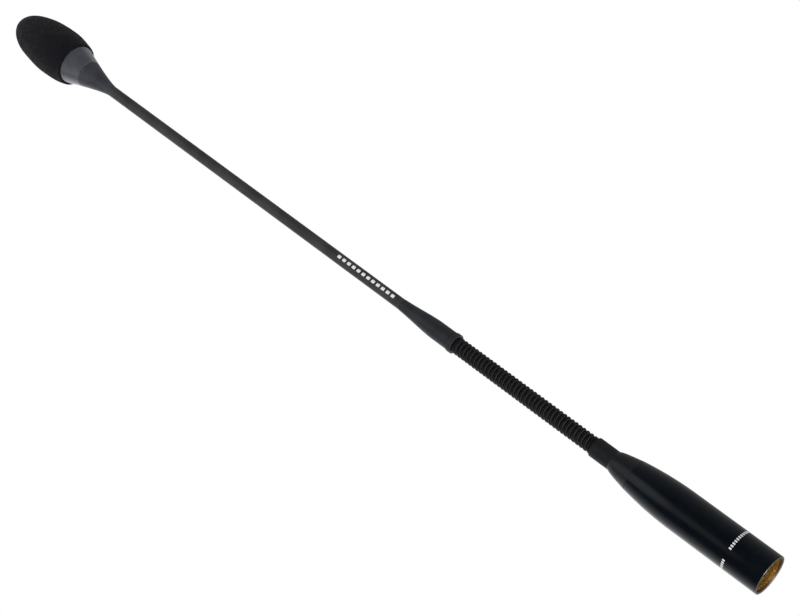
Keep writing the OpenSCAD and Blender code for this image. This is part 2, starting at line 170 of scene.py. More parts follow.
def trumpet(z):
    """Head cone and ring radius: the stem opening like a trumpet."""
    s = max((z - CONE_Z) / (RING_FRONT_Z - CONE_Z), 0)
    return STEM_R + 0.05 + (RING_FRONT_R - STEM_R - 0.05) * s ** 1.25


def cuff_outline(z):
    """Cuff radius: a soft S from the straight part down to the stem."""
    s = (z - CUFF_TAPER_Z) / (CUFF_END_Z - CUFF_TAPER_Z)
    return CUFF_R + (STEM_R + 0.12 - CUFF_R) * (0.55 * s + 0.45 * s * s * (3 - 2 * s))


def curve(radius, z0, z1, count):
    """Outline points (radius, z, no fillet) along a radius function."""
    return [(radius(z), z, 0.0) for z in np.linspace(z0, z1, count)]


def rounded(outline):
    """Replaces each corner (r, z, fillet radius) of a closed outline by an arc; returns (r, z) points."""
    points = []
    count = len(outline)
    for i, (r, z, fillet) in enumerate(outline):
        here = np.array([r, z])
        if fillet <= 0:
            points.append((r, z))
            continue
        before = np.array(outline[i - 1][:2]) - here
        after = np.array(outline[(i + 1) % count][:2]) - here
        len_a, len_b = np.linalg.norm(before), np.linalg.norm(after)
        before, after = before / len_a, after / len_b
        half = math.acos(float(np.clip(before @ after, -1, 1))) / 2
        back = min(fillet / math.tan(half), 0.49 * len_a, 0.49 * len_b)
        start, end = here + before * back, here + after * back
        for s in np.linspace(0, 1, FILLET_STEPS + 1):
            a, b = start + (here - start) * s, here + (end - here) * s
            points.append(tuple(a + (b - a) * s))
    return points


# ---- meshes

def make_object(name, verts_mm, faces, material):
    """A smooth-shaded mesh object with outward normals and sharp edges kept sharp."""
    mesh = bpy.data.meshes.new(name)
    mesh.from_pydata([tuple(v) for v in np.asarray(verts_mm) * MM], [], faces)
    edit = bmesh.new()
    edit.from_mesh(mesh)
    bmesh.ops.remove_doubles(edit, verts=edit.verts, dist=1e-7)
    bmesh.ops.recalc_face_normals(edit, faces=edit.faces)
    edit.to_mesh(mesh)
    edit.free()
    finish_mesh(mesh)
    obj = bpy.data.objects.new(name, mesh)
    bpy.context.scene.collection.objects.link(obj)
    obj.data.materials.append(material)
    return obj


def finish_mesh(mesh):
    """Smooth shading, with edges above the sharp angle left sharp."""
    mesh.polygons.foreach_set("use_smooth", [True] * len(mesh.polygons))
    mesh.set_sharp_from_angle(angle=SHARP_ANGLE)
    mesh.update()


def lathe_mesh(outline, steps=LATHE_STEPS):
    """Vertices and faces of an outline of (r, z) turned round the axis; r = 0 makes a pole."""
    verts, rings = [], []
    for r, z in outline:
        if r < 1e-6:
            rings.append([len(verts)] * steps)
            verts.append((0.0, 0.0, z))
            continue
        rings.append(list(range(len(verts), len(verts) + steps)))
        for k in range(steps):
            a = FULL_TURN * k / steps
            verts.append((r * math.cos(a), r * math.sin(a), z))
    open_ends = outline[0][0] < 1e-6 and outline[-1][0] < 1e-6
    faces = []
    for i in range(len(rings) - (1 if open_ends else 0)):
        a, b = rings[i], rings[(i + 1) % len(rings)]
        for k in range(steps):
            m = (k + 1) % steps
            corners = [a[k], a[m], b[m], b[k]]
            faces.append(list(dict.fromkeys(corners)))
    return verts, faces


def lathe(name, outline, material, steps=LATHE_STEPS):
    """A turned piece from a closed outline of (r, z, fillet radius)."""
    verts, faces = lathe_mesh(rounded(outline), steps)
    return make_object(name, verts, faces, material)


def sweep(name, section, path, material):
    """A closed solid: a section carried along a path.

    Section points are (outward, upward); path frames are (origin, outward, up, scale).
    """
    verts, faces = [], []
    count = len(section)
    for origin, outward, up, scale in path:
        for p, q in section:
            verts.append(origin + outward * (p * scale) + up * (q * scale))
    rows = len(path)
    for i in range(rows - 1):
        for j in range(count):
            k = (j + 1) % count
            faces.append([i * count + j, (i + 1) * count + j, (i + 1) * count + k, i * count + k])
    faces.append(list(range(count)))
    faces.append([(rows - 1) * count + j for j in reversed(range(count))])
    return make_object(name, verts, faces, material)


def boolean_cut(obj, cutters):
    """Subtracts each cutter object from obj, applies the result and removes the cutters."""
    for cutter in cutters:
        modifier = obj.modifiers.new("cut", "BOOLEAN")
        modifier.operation = "DIFFERENCE"
        modifier.solver = "EXACT"
        modifier.object = cutter
        evaluated = obj.evaluated_get(bpy.context.evaluated_depsgraph_get())
        result = bpy.data.meshes.new_from_object(evaluated)
        obj.modifiers.clear()
        old = obj.data
        obj.data = result
        bpy.data.meshes.remove(old)
        bpy.data.objects.remove(cutter)
    finish_mesh(obj.data)
    return obj


def cutter_rod(radius, length, location, direction):
    """A plain rod used only to cut a hole: from location, along direction."""
    verts, faces = lathe_mesh([(0, 0), (radius, 0), (radius, length), (0, length)], 48)
    rod = make_object("cutter", verts, faces, bpy.data.materials[0])
    turn = Vector((0, 0, 1)).rotation_difference(Vector(direction)).to_matrix().to_4x4()
    rod.data.transform(Matrix.Translation(Vector(location) * MM) @ turn)
    return rod


# ---- materials

class Nodes:
    """A small helper that adds and links shader nodes."""

    def __init__(self, name):
        self.material = bpy.data.materials.new(name)
        self.material.use_nodes = True
        self.tree = self.material.node_tree
        self.shader = self.tree.nodes["Principled BSDF"]
        self.output = self.tree.nodes["Material Output"]

    def add(self, kind, inputs=None, **settings):
        """Adds a node and sets or links its inputs."""
        node = self.tree.nodes.new(kind)
        for key, value in settings.items():
            setattr(node, key, value)
        for key, value in (inputs or {}).items():
            self.set(node, key, value)
        return node

    def set(self, node, key, value):
        """Sets an input to a value, or links it when the value is a socket."""
        if isinstance(value, bpy.types.NodeSocket):
            self.tree.links.new(value, node.inputs[key])
        else:
            node.inputs[key].default_value = value

    def place(self):
        """Object-space coordinates in millimetres, so that detail has a real size."""
        coords = self.add("ShaderNodeTexCoord")
        scale = self.add("ShaderNodeVectorMath", operation="SCALE")
        self.set(scale, 0, coords.outputs["Object"])
        self.set(scale, "Scale", 1 / MM)
        return scale.outputs["Vector"]

    def height(self):
        """Height in millimetres above the plug's rim."""
        return self.add("ShaderNodeSeparateXYZ", {0: self.place()}).outputs["Z"]

    def radius(self):
        """Distance in millimetres from the microphone's axis."""
        flat = self.add("ShaderNodeVectorMath", {0: self.place(), 1: (1, 1, 0)}, operation="MULTIPLY")
        return self.add("ShaderNodeVectorMath", {0: flat.outputs[0]}, operation="LENGTH").outputs["Value"]

    def noise(self, scale, detail=3.0, roughness=0.5, stretch=None):
        """Noise whose features are about 1/scale millimetres."""
        vector = self.place()
        if stretch:
            mapping = self.add("ShaderNodeVectorMath", operation="MULTIPLY")
            self.set(mapping, 0, vector)
            self.set(mapping, 1, stretch)
            vector = mapping.outputs["Vector"]
        node = self.add("ShaderNodeTexNoise", {"Scale": scale, "Detail": detail, "Roughness": roughness})
        self.set(node, "Vector", vector)
        return node.outputs["Fac"]

    def span(self, value, low, high, to_low, to_high):
        """Maps a value from one range to another, clamped."""
        inputs = {"From Min": low, "From Max": high, "To Min": to_low, "To Max": to_high}
        node = self.add("ShaderNodeMapRange", inputs)
        self.set(node, "Value", value)
        return node.outputs["Result"]

    def mix(self, factor, a, b):
        """Mixes two colours."""
        node = self.add("ShaderNodeMix", data_type="RGBA")
        self.set(node, 0, factor)
        self.set(node, 6, a)
        self.set(node, 7, b)
        return node.outputs[2]

    def math(self, operation, a, b=0.0):
        """One sum on two values."""
        node = self.add("ShaderNodeMath", operation=operation)
        self.set(node, 0, a)
        self.set(node, 1, b)
        return node.outputs[0]

    def bump(self, height, distance_mm, strength=1.0, normal=None):
        """A bump whose full height is distance_mm millimetres."""
        node = self.add("ShaderNodeBump", {"Strength": strength, "Distance": distance_mm * MM})
        self.set(node, "Height", height)
        if normal is not None:
            self.set(node, "Normal", normal)
        return node.outputs["Normal"]

    def surface(self, **inputs):
        """Sets the main shader's inputs, with _ for each space, and returns the material."""
        for key, value in inputs.items():
            self.set(self.shader, key.replace("_", " "), value)
        return self.material


def rgb(r, g, b):
    """A colour with its alpha."""
    return (r, g, b, 1.0)


RUBBED_METAL = rgb(0.05, 0.05, 0.055)


def edge_wear(n):
    """Near 1 on the outer edges of turned pieces, broken up by noise."""
    edges = n.add("ShaderNodeNewGeometry").outputs["Pointiness"]
    mask = n.span(edges, 0.53, 0.60, 0.0, 1.0)
    return n.math("MULTIPLY", mask, n.span(n.noise(1.3, 4), 0.45, 0.62, 0.0, 1.0))


def shade(colour, factor):
    """A colour made darker or lighter."""
    return rgb(*[min(c * factor, 1) for c in colour])


def mottled(n, scale, detail, dark, light):
    """Two colours that drift into each other, in patches of about 1/scale millimetres."""
    return n.mix(n.span(n.noise(scale, detail), 0.35, 0.65, 0, 1), dark, light)


def uneven(n, scale, detail, low, high):
    """A value that drifts between two limits, in the same way."""
    return n.span(n.noise(scale, detail), 0.3, 0.7, low, high)


def lacquer(name, colour, polish=0.16, bare_rim=False):
    """Gloss lacquer: deep dark base, faint orange peel, a few dust specks and softly rubbed edges.

    With bare_rim, the bevel round the plug's mouth is bare metal.
    """
    n = Nodes(name)
    base = mottled(n, 0.08, 2, shade(colour, 0.75), shade(colour, 1.25))
    base = n.mix(n.math("MULTIPLY", edge_wear(n), 0.25), base, RUBBED_METAL)
    handled = n.span(n.noise(0.25, 5, 0.6), 0.42, 0.68, polish, polish + 0.12)
    peel = n.bump(n.noise(0.9, 2), 0.004)
    dust = n.span(n.noise(5.5, 1), 0.76, 0.82, 0, 1)
    normal = n.bump(dust, 0.006, 0.6, peel)
    coat = 0.5
    if bare_rim:
        rim_r = BARREL_BORE_R + RIM_BEVEL
        inner = n.span(n.radius(), rim_r, rim_r + 0.1, 1, 0)
        bare = n.math("MULTIPLY", inner, n.span(n.height(), RIM_BEVEL, RIM_BEVEL + 0.15, 1, 0))
        base = n.mix(bare, base, rgb(0.130, 0.112, 0.090))
        handled = n.math("ADD", handled, n.math("MULTIPLY", bare, 0.45))
        coat = n.math("SUBTRACT", coat, n.math("MULTIPLY", bare, coat))
        n.surface(Metallic=bare)
    return n.surface(Base_Color=base, Roughness=handled, Normal=normal, Specular_IOR_Level=0.5,
                     Coat_Weight=coat, Coat_Roughness=0.06)


def satin_paint(name, colour, rough=0.42, grain=0.02):
    """Satin powder coat: fine even grain, slight colour drift and bright rubbed edges."""
    n = Nodes(name)
    base = mottled(n, 0.12, 3, shade(colour, 0.82), shade(colour, 1.18))
    speckle = n.span(n.noise(9, 2), 0.62, 0.75, 0, 0.25)
    base = n.mix(speckle, base, shade(colour, 2.2))
    base = n.mix(n.math("MULTIPLY", edge_wear(n), 0.3), base, rgb(0.10, 0.10, 0.105))
    roughness = uneven(n, 0.6, 4, rough - 0.07, rough + 0.1)
    normal = n.bump(n.noise(6.5, 3, 0.6), grain)
    return n.surface(Base_Color=base, Roughness=roughness, Normal=normal, Specular_IOR_Level=0.5)


def turned_metal(name, colour, rough=0.25, tarnish=(0.3, 0.2, 0.1), amount=0.25, ring_depth=0.006, rubbed=0):
    """Turned metal: fine rings round the axis, handling haze and a little tarnish in patches.

    Below the height rubbed, the colour turns dark brown.
    """
    n = Nodes(name)
    patch = n.span(n.noise(0.35, 5, 0.6), 0.48, 0.72, 0, amount)
    base = n.mix(patch, rgb(*colour), rgb(*tarnish))
    if rubbed:
        # Dark brown below the height rubbed.
        base = n.mix(n.span(n.height(), rubbed, rubbed + 0.1, 1, 0), base, rgb(0.060, 0.026, 0.012))
    rings = n.noise(7, 2, 0.5, (0.06, 0.06, 1.0))
    roughness = uneven(n, 0.8, 4, rough - 0.06, rough + 0.12)
    normal = n.bump(rings, ring_depth)
    return n.surface(Base_Color=base, Metallic=1.0, Roughness=roughness, Normal=normal)


def moulded_plastic(name, colour, rough=0.5, grain=0.01):
    """Moulded plastic or resin: fine spark-eroded grain and slight mottling."""
    n = Nodes(name)
    base = mottled(n, 0.3, 3, shade(colour, 0.88), shade(colour, 1.12))
    roughness = uneven(n, 2.0, 3, rough - 0.06, rough + 0.08)
    normal = n.bump(n.noise(8, 3, 0.6), grain)
    return n.surface(Base_Color=base, Roughness=roughness, Normal=normal)


def cable_rubber(name, colour):
    """Extruded rubber jacket: lines along its length and a dull bloom."""
    n = Nodes(name)
    bloom = n.span(n.noise(0.5, 4), 0.45, 0.75, 0, 0.5)
    base = n.mix(bloom, rgb(*colour), shade(colour, 2.0))
    normal = n.bump(n.noise(5, 2, 0.5, (1.0, 1.0, 0.04)), 0.02)
    return n.surface(Base_Color=base, Roughness=0.62, Normal=normal)


def circuit_board(name):
    """Green solder mask over copper tracks, with pale drilled pads."""
    n = Nodes(name)
    tracks = n.add("ShaderNodeTexBrick", {"Scale": 0.55, "Mortar Size": 0.09, "Bias": 0.0})
    n.set(tracks, "Vector", n.place())
    weave = n.span(n.noise(3, 2), 0.4, 0.6, 0, 0.25)
    base = n.mix(weave, rgb(0.012, 0.10, 0.035), rgb(0.02, 0.15, 0.05))
    base = n.mix(n.math("MULTIPLY", tracks.outputs["Fac"], 0.6), base, rgb(0.03, 0.22, 0.07))
    normal = n.bump(tracks.outputs["Fac"], 0.03)
    return n.surface(Base_Color=base, Roughness=0.32, Normal=normal)


def open_foam(name):
    """Open-cell foam: cells painted darker than the fine cell walls as painted shade in the pits, and pale
    specks painted only where the surface turns edge-on, as a painted sheen.
    """
    n = Nodes(name)
    cells = n.add("ShaderNodeTexVoronoi", {"Scale": 1.7}, feature="DISTANCE_TO_EDGE")
    n.set(cells, "Vector", n.place())
    wall = n.span(cells.outputs["Distance"], 0.02, 0.14, 1, 0)
    fine = n.noise(4.0, 4, 0.65)
    # The open cells are painted darker than the cell walls: painted shade in the pits.
    base = n.mix(wall, rgb(0.0024, 0.0023, 0.0040), rgb(0.0085, 0.0080, 0.0115))
    drift = n.span(n.noise(0.22, 3), 0.35, 0.7, 0, 0.4)
    base = n.mix(drift, base, rgb(0.0098, 0.0092, 0.0112))
    # Pale specks shown only where the surface turns edge-on: a painted sheen on the fibres at the silhouette.
    facing = n.add("ShaderNodeLayerWeight", {"Blend": 0.35}).outputs["Facing"]
    edge = n.span(facing, 0.2, 0.75, 0.02, 1)
    painted_sheen_specks = n.math("MULTIPLY", n.span(n.noise(1.1, 2, 0.7), 0.53, 0.64, 0, 1), edge)
    base = n.mix(painted_sheen_specks, base, rgb(0.075, 0.070, 0.052))
    height = n.math("ADD", n.math("MULTIPLY", wall, 0.6), n.math("MULTIPLY", fine, 0.5))
    normal = n.bump(height, 0.25, 0.9)
    return n.surface(Base_Color=base, Roughness=0.95, Normal=normal, Specular_IOR_Level=0.12,
                     Sheen_Weight=0.2, Sheen_Roughness=0.5, Sheen_Tint=rgb(0.26, 0.27, 0.32))


def smoked_plastic(name):
    """Smoked translucent ring with faint mould flow lines: some light passes through it, and its edges are
    painted pale where seen edge-on, as painted light.
    """
    n = Nodes(name)
    base = mottled(n, 0.22, 3, rgb(0.078, 0.084, 0.100), rgb(0.092, 0.098, 0.115))
    # The colour turns pale grey where the surface is seen edge-on: painted light at the ring's edges.
    painted_edge_light = n.add("ShaderNodeLayerWeight", {"Blend": 0.5}).outputs["Facing"]
    base = n.mix(n.span(painted_edge_light, 0.35, 0.95, 0, 1), base, rgb(0.34, 0.36, 0.39))
    roughness = uneven(n, 0.8, 3, 0.16, 0.28)
    normal = n.bump(n.noise(1.2, 2), 0.006)
    return n.surface(Base_Color=base, Roughness=roughness, Normal=normal, IOR=1.49,
                     Transmission_Weight=0.22, Coat_Weight=0.35, Coat_Roughness=0.12)


def wound_wire(name, colour, rough=0.34):
    """Blackened wire: drawn lines along the winding, and rubbed patches."""
    n = Nodes(name)
    base = mottled(n, 0.2, 3, shade(colour, 0.8), shade(colour, 1.25))
    rubbed = n.span(n.noise(1.1, 4), 0.5, 0.72, 0, 0.22)
    base = n.mix(rubbed, base, RUBBED_METAL)
    roughness = uneven(n, 1.6, 3, rough - 0.08, rough + 0.12)
    normal = n.bump(n.noise(3.0, 3, 0.5, (0.5, 0.5, 3.0)), 0.02)
    return n.surface(Base_Color=base, Roughness=roughness, Normal=normal, Specular_IOR_Level=0.4)


def clear_lens(name):
    """Small clear lens over a pale chip."""
    n = Nodes(name)
    base = n.mix(n.span(n.noise(1.5, 2), 0.4, 0.6, 0, 1), rgb(0.80, 0.76, 0.62), rgb(0.92, 0.90, 0.80))
    normal = n.bump(n.noise(2, 2), 0.01)
    return n.surface(Base_Color=base, Roughness=0.12, Transmission_Weight=0.4, Normal=normal)


def ink(name):
    """Screen-printed white ink with slightly thin patches."""
    n = Nodes(name)
    base = n.mix(n.span(n.noise(2.5, 4), 0.45, 0.8, 0, 0.5), rgb(0.86, 0.87, 0.88), rgb(0.45, 0.46, 0.48))
    return n.surface(Base_Color=base, Roughness=0.55, Normal=n.bump(n.noise(7, 2), 0.01))


MATERIALS = {
    "barrel_lacquer": lacquer("barrel_lacquer", (0.0006, 0.0028, 0.0062), bare_rim=True),
    "cone_lacquer": lacquer("cone_lacquer", (0.0036, 0.0058, 0.0080), 0.36),
    "gold_plate": turned_metal(
        "gold_plate", (0.90, 0.72, 0.32), 0.30, (0.42, 0.24, 0.09), 0.6, ring_depth=0.001,
        rubbed=SLEEVE_START + LINER_BEVEL,
    ),
    "insert_plastic": moulded_plastic("insert_plastic", (0.055, 0.032, 0.018), 0.45),
    "plain_steel": turned_metal("plain_steel", (0.50, 0.50, 0.51), 0.32, (0.18, 0.17, 0.16), 0.3),
    "contact_spring": turned_metal("contact_spring", (0.62, 0.42, 0.18), 0.3),
    "lead_sheath": moulded_plastic("lead_sheath", (0.50, 0.06, 0.04), 0.4),
    "circuit_board": circuit_board("circuit_board"),
    "capacitor_sleeve": moulded_plastic("capacitor_sleeve", (0.02, 0.022, 0.09), 0.28, 0.004),
    "component_resin": moulded_plastic("component_resin", (0.018, 0.018, 0.02), 0.55),
    "insulating_film": moulded_plastic("insulating_film", (0.022, 0.022, 0.025), 0.35, 0.006),
    "collar_black": satin_paint("collar_black", (0.0088, 0.0100, 0.0132), 0.5, 0.015),
    "coil_black": wound_wire("coil_black", (0.0026, 0.0028, 0.0034), 0.42),
    "spring_wire": wound_wire("spring_wire", (0.05, 0.05, 0.055), 0.3),
    "cable_jacket": cable_rubber("cable_jacket", (0.012, 0.012, 0.013)),
    "cuff_black": satin_paint("cuff_black", (0.0205, 0.0220, 0.0260), 0.38),
    "stem_black": satin_paint("stem_black", (0.036, 0.037, 0.037), 0.42),
    "head_black": satin_paint("head_black", (0.042, 0.043, 0.053), 0.30),
    "smoked_ring": smoked_plastic("smoked_ring"),
    "led_lens": clear_lens("led_lens"),
    "housing_black": satin_paint("housing_black", (0.020, 0.020, 0.022), 0.5),
    "grille_steel": turned_metal("grille_steel", (0.20, 0.20, 0.21), 0.38),
    "capsule_metal": turned_metal("capsule_metal", (0.72, 0.72, 0.74), 0.28),
    "diaphragm_film": turned_metal("diaphragm_film", (0.80, 0.62, 0.26), 0.12, (0.5, 0.36, 0.15), 0.2),
    "insulator_resin": moulded_plastic("insulator_resin", (0.72, 0.70, 0.64), 0.45),
    "gasket_rubber": cable_rubber("gasket_rubber", (0.012, 0.012, 0.012)),
    "foam": open_foam("foam"),
    "print_ink": ink("print_ink"),
}


def dress_cad_nodes():
    """Gives every carried-over CAD node its slot's procedural material."""
    slots = {s["node"]: s["material_slot"] for s in frame["record"]["subparts"]}
    for name, obj in frame["nodes"].items():
        obj.data.materials.clear()
        obj.data.materials.append(MATERIALS[slots[name]])


def lathe_for(node, name, outline, body, slot, steps=LATHE_STEPS):
    """A turned piece that stands for one CAD node and rides on its body."""
    obj = lathe(name, outline, MATERIALS[slot], steps)
    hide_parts(node)
    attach(obj, body)
    return obj


# ---- plug

def screw_hole(start, length, radius):
    """A cutter for the lock screw's hole, pointing out along +Y from the distance start."""
    return cutter_rod(radius, length, (0, start, LOCK_SCREW_Z), (0, 1, 0))


def build_barrel():
    """The glossy barrel, bevelled inside its rim, with a countersunk hole for the lock screw."""
    outline = [
        (BARREL_BORE_R, RIM_BEVEL, 0.05), (BARREL_BORE_R + RIM_BEVEL, 0, 0.05), (BARREL_R, 0, 0.3),
        (BARREL_R, BARREL_STRAIGHT * 0.5, 0),
    ]
    outline += curve(ogive, BARREL_STRAIGHT, SEAM_Z - 0.25, 40)
    seam = SEAM_Z - 0.04
    outline += [
        (SEAM_R, seam, 0.12), (SPIGOT_R + 0.05, seam, 0.1), (SPIGOT_R + 0.05, SPIGOT_START - 0.2, 0.2),
        (BARREL_BORE_R, BARREL_BORE_END, 0.4),
    ]
    obj = lathe_for("connector_barrel", "barrel", outline, "connector", "barrel_lacquer", PLUG_STEPS)
    hole = screw_hole(BARREL_R - 2, 4.0, LOCK_SCREW_R)
    sink = screw_hole(BARREL_R - 0.18, 1.0, LOCK_SCREW_R + 0.25)
    boolean_cut(obj, [hole, sink])


def build_contact_sleeve():
    """The gold liner: bevelled at its mouth, and a little wider inside."""
    mouth_end = SLEEVE_START + 2
    inner_r = MOUTH_R + 0.2
    outline = [
        (MOUTH_R, SLEEVE_START + LINER_BEVEL, 0.1), (SLEEVE_R - 0.1, SLEEVE_START, 0.05),
        (SLEEVE_R, SLEEVE_START + 0.1, 0), (SLEEVE_R, SLEEVE_END, 0.1),
        (inner_r, SLEEVE_END, 0.1), (inner_r, mouth_end + 0.1, 0.08), (MOUTH_R, mouth_end - 0.1, 0.08),
    ]
    obj = lathe_for("contact_sleeve", "gold_liner", outline, "connector", "gold_plate", PLUG_STEPS)
    boolean_cut(obj, [screw_hole(SLEEVE_R - 2, 4.0, LOCK_SCREW_R)])


def build_insert():
    """The insulating insert: a raised ring on its face, holes for the contacts and a key rib."""
    face = INSERT_FACE_Z
    raised = face + 0.35
    outline = [
        (0, face, 0), (INSERT_R - 1.2, face, 0), (INSERT_R - 1.0, raised, 0.1), (INSERT_R - 0.5, raised, 0.1),
        (INSERT_R - 0.4, face, 0.1), (INSERT_R, face, 0.15), (INSERT_R, INSERT_END, 0.3), (0, INSERT_END, 0),
    ]
    obj = lathe_for("pin_insert", "pin_insert_body", outline, "connector", "insert_plastic")
    bores = [cutter_rod(PIN_R + 0.02, 12, (x, y, face - 1), (0, 0, 1)) for x, y in PIN_PLACES]
    rings = [cutter_rod(PIN_R + 0.45, 0.3, (x, y, face - 0.02), (0, 0, 1)) for x, y in PIN_PLACES]
    boolean_cut(obj, bores + rings + [screw_hole(INSERT_R - 5, 6, LOCK_SCREW_R)])
    rib_low = (-1, INSERT_R - 1.3, INSERT_START)
    rib_high = (1, INSERT_R - 0.3, face + 0.2)
    rib = rounded_box("insert_key_rib", rib_low, rib_high, 0.3, "insert_plastic")
    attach(rib, "connector")


def rounded_box(name, low, high, bevel, slot):
    """A box with bevelled edges."""
    edit = bmesh.new()
    bmesh.ops.create_cube(edit, size=1.0)
    size = Vector(high) - Vector(low)
    centre = (Vector(high) + Vector(low)) / 2
    bmesh.ops.scale(edit, vec=size, verts=edit.verts)
    bmesh.ops.translate(edit, vec=centre, verts=edit.verts)
    bmesh.ops.bevel(edit, geom=edit.edges[:], offset=bevel, segments=3, affect="EDGES", profile=0.5)
    edit.verts.ensure_lookup_table()
    verts = [tuple(v.co) for v in edit.verts]
    faces = [[v.index for v in f.verts] for f in edit.faces]
    edit.free()
    return make_object(name, verts, faces, MATERIALS[slot])


def build_pins():
    """The three contacts: a round tip in front, a plain shank and a solder cup at the back."""
    angles = np.linspace(0, math.pi / 2, 12)
    tip = [(PIN_R * math.sin(a), PIN_TIP_Z + PIN_R * (1 - math.cos(a))) for a in angles]
    shank = [(PIN_R, INSERT_FACE_Z - 0.5), (PIN_R, PIN_END_Z - 0.1), (PIN_R - 0.1, PIN_END_Z)]
    cup_r = 0.8
    cup_floor = PIN_END_Z - 2
    cup = [(cup_r + 0.05, PIN_END_Z), (cup_r, PIN_END_Z - 0.1), (cup_r, cup_floor), (0, cup_floor)]
    for i, (x, y) in enumerate(PIN_PLACES, start=1):
        verts, faces = lathe_mesh(tip + shank + cup, 64)
        verts = np.array(verts) + np.array([x, y, 0])
        pin = make_object(f"contact_pin_{i}", verts, faces, MATERIALS["gold_plate"])
        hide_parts(f"pin_{i}")
        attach(pin, "connector")


def build_nose_and_collar():
    """The nose cone with its hollow spigot, and the collar that the neck comes out of."""
    foot = SEAM_Z + 0.06
    top = NOSE_END_Z - 0.02
    hollow_r = 5.0
    hollow_end = 70.05
    cable_hole_r = 2.65
    stud_floor = 72.0
    outline = [(SEAM_R, foot, 0.12)] + curve(nose_outline, SEAM_Z + 0.3, NOSE_END_Z - 0.15, 40)
    outline += [
        (COLLAR_R, top, 0.1), (STUD_BORE_R, top, 0), (STUD_BORE_R, stud_floor, 0),
        (cable_hole_r, stud_floor, 0), (cable_hole_r, hollow_end, 0), (hollow_r, hollow_end, 0.2),
        (hollow_r, SPIGOT_START, 0.1), (SPIGOT_R, SPIGOT_START, 0.2), (SPIGOT_R, foot, 0.05),
    ]
    lathe_for("nose_cone", "nose", outline, "connector", "cone_lacquer", PLUG_STEPS)
    foot = NOSE_END_Z + 0.03
    outline = [
        (STUD_BORE_R, foot, 0), (COLLAR_R, foot, 0.12), (COLLAR_R + 0.02, NOSE_END_Z + 5, 0),
        (COLLAR_R, COIL_START, 0.35), (STUD_BORE_R, COIL_START, 0.1),
    ]
    lathe_for("neck_collar", "collar", outline, "connector", "collar_black")


# ---- wound neck

WIRE_HALF = 0.75  # half the height of the CAD's outer wire
HELIX_START = span_mm("outer_coil_1")[1] + WIRE_HALF
HELIX_END = span_mm("outer_coil_13")[2] - WIRE_HALF
TURNS = 36.75
PITCH = (HELIX_END - HELIX_START) / TURNS
START_TURN = 0.5  # the helix starts this much of a turn before +X
TAPER_TURNS = 0.2
END_TURN = 1.7  # height of the closed turn at each end


def helix_frame(turn):
    """(point on the axis at that turn, outward unit vector) of the wound wires."""
    a = FULL_TURN * (turn - START_TURN)
    return np.array([0, 0, HELIX_START + PITCH * turn]), np.array([math.cos(a), math.sin(a), 0.0])


def helix_piece(name, section, low, high, per_turn, slot, taper=(False, False)):
    """A wire along the helix between two heights, with per_turn steps in each turn.

    A tapered end grows from half size to full size over TAPER_TURNS.
    """
    turn_a, turn_b = turn_at(low), turn_at(high)
    count = max(math.ceil((turn_b - turn_a) * per_turn), 2)
    base = min(p for p, _ in section)
    path = []
    for i in range(count + 1):
        turn = turn_a + (turn_b - turn_a) * i / count
        axis_point, outward = helix_frame(turn)
        grow = 1.0
        if taper[0]:
            grow = min(grow, 0.5 + 0.5 * (turn - turn_a) / TAPER_TURNS)
        if taper[1]:
            grow = min(grow, 0.5 + 0.5 * (turn_b - turn) / TAPER_TURNS)
        path.append((axis_point + outward * base, outward, np.array([0, 0, 1.0]), grow))
    shifted = [(p - base, q) for p, q in section]
    return sweep(name, shifted, path, MATERIALS[slot])


def ridge_section():
    """The outer wire: a rounded ridge whose feet all but touch the next turns, as (radius, height)."""
    half_width = PITCH / 2 - 0.012
    groove_r = COIL_R - 0.78
    flank = []
    for q in np.linspace(-1, 1, 15):
        flank.append((COIL_R - (COIL_R - groove_r) * abs(q) ** 2.3, half_width * q))
    foot_r = groove_r - 0.1
    inner_half = 0.8
    below = [(COIL_BORE_R, -inner_half), (foot_r, -half_width)]
    return below + flank + [(foot_r, half_width), (COIL_BORE_R, inner_half)]


def end_turn_outline(middle):
    """The closed, ground turn at each end of the winding."""
    half = END_TURN / 2 - 0.02
    flank = [(COIL_R - 0.06 - 0.7 * abs(q) ** 2.6, middle + half * q, 0) for q in np.linspace(-1, 1, 15)]
    return [(COIL_BORE_R, middle - half, 0)] + flank + [(COIL_BORE_R, middle + half, 0)]


def build_end_turn(name, middle, body):
    """One closed end turn, riding on the body that it touches."""
    end_turn = lathe(name, end_turn_outline(middle), MATERIALS["coil_black"])
    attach(end_turn, body)


def round_section(radius, wire_r, count=10):
    """A round wire or cable at a radius, as (radius, height)."""
    angles = -np.linspace(0, FULL_TURN, count, endpoint=False)
    return [(radius + wire_r * math.cos(a), wire_r * math.sin(a)) for a in angles]


def turn_at(z):
    """How many turns the helix has made at a height."""
    return (z - HELIX_START) / PITCH


def cable_piece(name, low, high):
    """A straight stretch of the signal cable on the neck's axis."""
    outward, up = np.array([1.0, 0, 0]), np.array([0, 1.0, 0])
    path = [(np.array([0, 0, z]), outward, up, 1.0) for z in np.linspace(low, high, 9)]
    return sweep(name, round_section(0, CABLE_R, 24), path, MATERIALS["cable_jacket"])


